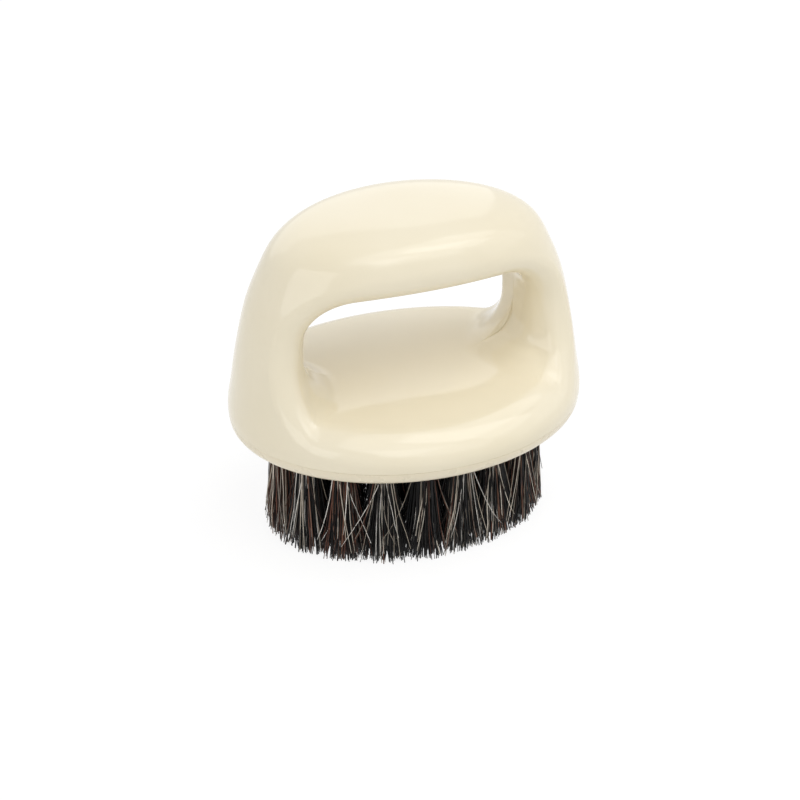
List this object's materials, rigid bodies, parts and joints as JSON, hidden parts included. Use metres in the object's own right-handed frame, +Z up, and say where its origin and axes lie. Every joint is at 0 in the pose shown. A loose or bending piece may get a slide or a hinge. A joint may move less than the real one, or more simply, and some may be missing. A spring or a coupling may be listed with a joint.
{
  "type": "shoe shine brush",
  "caption": "Small oval shoe shine brush with a glossy cream ring handle of two moulded halves and short mixed horsehair tufts.",
  "frame": {"origin": "Middle of the brush's outline, at the level of the trimmed hair ends.", "axes": "X runs along the brush, through the length of the finger opening. Y runs through the finger opening from the front half to the rear half. Z points up from the hair to the bar of the handle."},
  "size_m": [0.084, 0.0694, 0.0787],
  "materials": {
    "handle_plastic": "polished cream ABS moulding",
    "plate_plastic": "cream ABS moulding, same batch as the handle",
    "horsehair": "natural mixed horsehair, black with brown, grey and beige",
    "anchor_wire": "drawn flat wire"
  },
  "bodies": {
    "root": {"centre_anchors": "anchor_wire", "centre_tuft_01": "horsehair", "centre_tuft_02": "horsehair", "centre_tuft_03": "horsehair", "centre_tuft_04": "horsehair", "front_shell": "handle_plastic", "middle_anchors": "anchor_wire", "middle_tuft_01": "horsehair", "middle_tuft_02": "horsehair", "middle_tuft_03": "horsehair", "middle_tuft_04": "horsehair", "middle_tuft_05": "horsehair", "middle_tuft_06": "horsehair", "middle_tuft_07": "horsehair", "middle_tuft_08": "horsehair", "middle_tuft_09": "horsehair", "middle_tuft_10": "horsehair", "middle_tuft_11": "horsehair", "middle_tuft_12": "horsehair", "outer_anchors": "anchor_wire", "outer_tuft_01": "horsehair", "outer_tuft_02": "horsehair", "outer_tuft_03": "horsehair", "outer_tuft_04": "horsehair", "outer_tuft_05": "horsehair", "outer_tuft_06": "horsehair", "outer_tuft_07": "horsehair", "outer_tuft_08": "horsehair", "outer_tuft_09": "horsehair", "outer_tuft_10": "horsehair", "outer_tuft_11": "horsehair", "outer_tuft_12": "horsehair", "outer_tuft_13": "horsehair", "outer_tuft_14": "horsehair", "outer_tuft_15": "horsehair", "outer_tuft_16": "horsehair", "outer_tuft_17": "horsehair", "outer_tuft_18": "horsehair", "rear_shell": "handle_plastic", "tuft_plate": "plate_plastic"}
  },
  "joints": []
}
